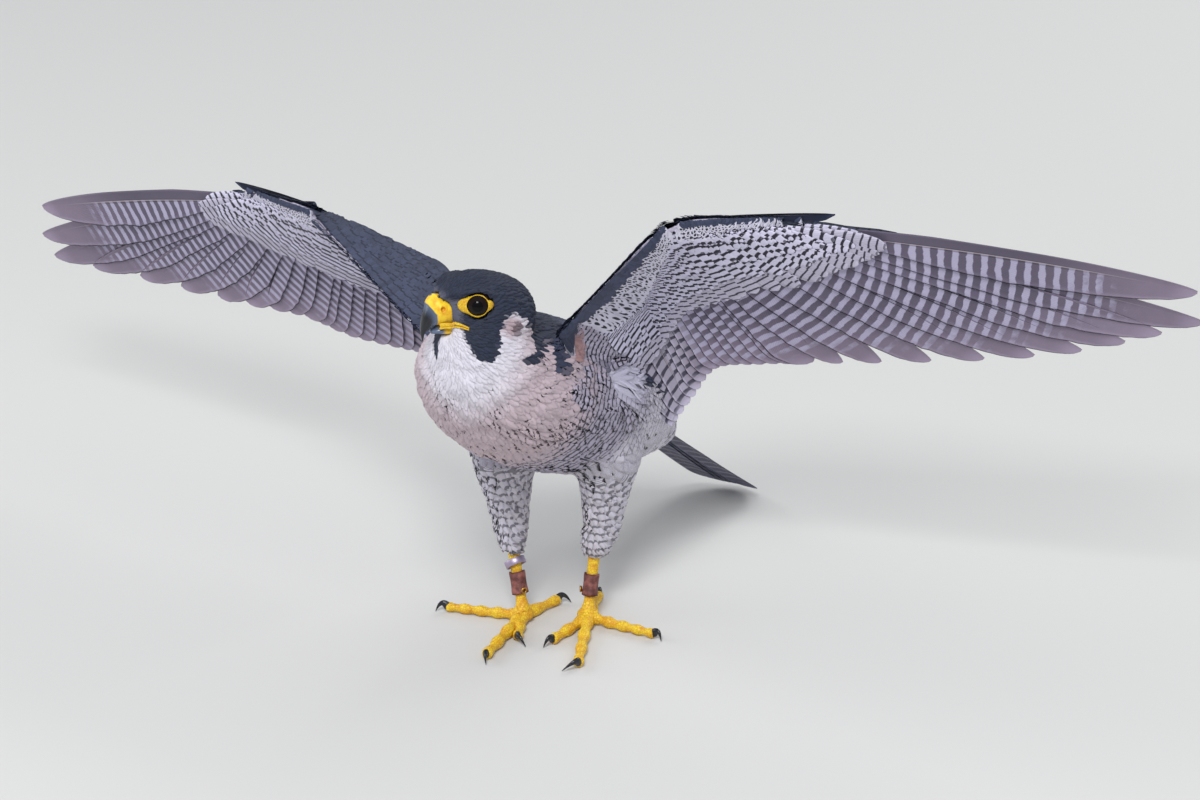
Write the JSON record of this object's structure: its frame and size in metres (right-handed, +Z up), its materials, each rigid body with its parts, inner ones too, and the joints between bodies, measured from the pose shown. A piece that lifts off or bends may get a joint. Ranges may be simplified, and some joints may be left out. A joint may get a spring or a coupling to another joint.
{
  "type": "peregrine falcon model",
  "caption": "Life-size still model of a standing falcon with both wings spread and a closed tail, for a museum-type display.",
  "frame": {"origin": "on the floor under the middle of the whole outline, wings and tail included", "axes": "+Z up; the bird's breast faces -Y and its left wing reaches to +X, so +X runs wing tip to wing tip"},
  "size_m": [0.7838, 0.3192, 0.279],
  "materials": {
    "dark_plumage": "soft slate-black feathers",
    "pale_plumage": "soft buff-white barred feathers",
    "flight_feather": "barred brown-grey vanes with a faint sheen",
    "bill": "smooth blue-grey horn, yellow at its base",
    "claw": "smooth black horn",
    "scaled_skin": "scaled yellow skin",
    "eye": "wet dark brown",
    "leather": "worn red-brown leather",
    "brass": "dull brass",
    "ring_metal": "dull metal"
  },
  "bodies": {
    "root": {"torso": "pale_plumage", "leg_left_thigh": "pale_plumage", "leg_right_thigh": "pale_plumage", "head": "dark_plumage", "neck": "dark_plumage", "wing_left_upper_arm": "flight_feather", "wing_left_forearm": "flight_feather", "wing_left_hand": "flight_feather", "wing_left_alula": "flight_feather", "leg_left_tarsus": "scaled_skin", "leg_left_foot": "scaled_skin", "eye_left": "eye", "cuff_left": "leather", "eyelet_left": "brass", "claw_left_outer": "claw", "claw_left_middle": "claw", "claw_left_inner": "claw", "claw_left_hind": "claw", "wing_right_upper_arm": "flight_feather", "wing_right_forearm": "flight_feather", "wing_right_hand": "flight_feather", "wing_right_alula": "flight_feather", "leg_right_tarsus": "scaled_skin", "leg_right_foot": "scaled_skin", "eye_right": "eye", "cuff_right": "leather", "eyelet_right": "brass", "claw_right_outer": "claw", "claw_right_middle": "claw", "claw_right_inner": "claw", "claw_right_hind": "claw", "tail": "flight_feather", "bill_upper": "bill", "bill_lower": "bill", "leg_ring": "ring_metal"}
  },
  "joints": []
}
